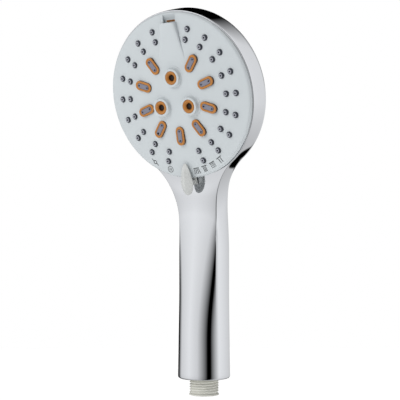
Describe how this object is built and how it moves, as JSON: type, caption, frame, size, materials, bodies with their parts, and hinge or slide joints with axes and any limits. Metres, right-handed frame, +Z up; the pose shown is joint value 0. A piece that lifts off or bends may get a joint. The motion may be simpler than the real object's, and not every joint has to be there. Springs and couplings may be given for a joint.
{
  "type": "handheld shower head",
  "caption": "Chromed handheld shower head with a tilted round multi-jet face, a selector lever at the rim and a threaded hose inlet.",
  "frame": {"origin": "centre of the hose thread's free end", "axes": "+Z up along the handle to the head, -Y the way the spray face looks (it also leans down), +X to the right when the face is looked at"},
  "size_m": [0.12, 0.0662, 0.275],
  "materials": {
    "chrome": "polished chrome plating on ABS",
    "face_white": "satin white ABS",
    "amber_plastic": "translucent amber plastic",
    "silicone_grey": "soft grey silicone",
    "swirl_grey": "moulded acetal",
    "white_abs": "moulded ABS",
    "black_rubber": "moulded EPDM rubber",
    "ivory_acetal": "moulded acetal",
    "spring_steel": "drawn stainless wire and strip",
    "steel": "turned stainless steel",
    "brass_bush": "turned brass",
    "lever_grey": "satin pale grey ABS",
    "thread_white": "off-white glass-filled nylon",
    "green_acetal": "moulded acetal",
    "blue_acetal": "moulded acetal"
  },
  "bodies": {
    "handset": {"body_shell": "chrome", "face_plate": "face_white", "jet_plate": "amber_plastic", "nozzle_mat": "silicone_grey", "mist_swirlers": "swirl_grey", "chamber_plate": "white_abs", "channel_plate": "white_abs", "port_gasket": "black_rubber", "manifold": "ivory_acetal", "kidney_seal": "black_rubber", "seal_springs": "spring_steel", "axle_pin": "steel", "detent_spring": "spring_steel", "plate_screws": "steel", "riser_tube": "white_abs", "riser_o_rings": "black_rubber", "inlet_connector": "thread_white", "connector_o_ring": "black_rubber", "inlet_filter": "steel", "flow_regulator": "green_acetal", "regulator_o_ring": "black_rubber", "check_valve_body": "ivory_acetal", "check_valve_o_ring": "black_rubber", "check_valve_spring": "spring_steel"},
    "selector": {"rotor_disc": "ivory_acetal", "rotor_bush": "brass_bush", "lever_pins": "steel", "selector_lever": "lever_grey"},
    "poppet": {"check_poppet": "blue_acetal"}
  },
  "joints": [
    {"name": "selector_turn", "type": "hinge", "parent": "handset", "child": "selector", "pos_m": [0, -0.0293, 0.2132], "axis": [0, -0.9763, -0.2164], "range_deg": [-32, 32], "deforming": ["detent_spring"]},
    {"name": "check_valve_lift", "type": "slide", "parent": "handset", "child": "poppet", "axis": [0, 0, 1], "range_m": [0, 0.0025], "stiffness_N_per_m": 60, "springref_m": -0.004, "deforming": ["check_valve_spring"]}
  ]
}
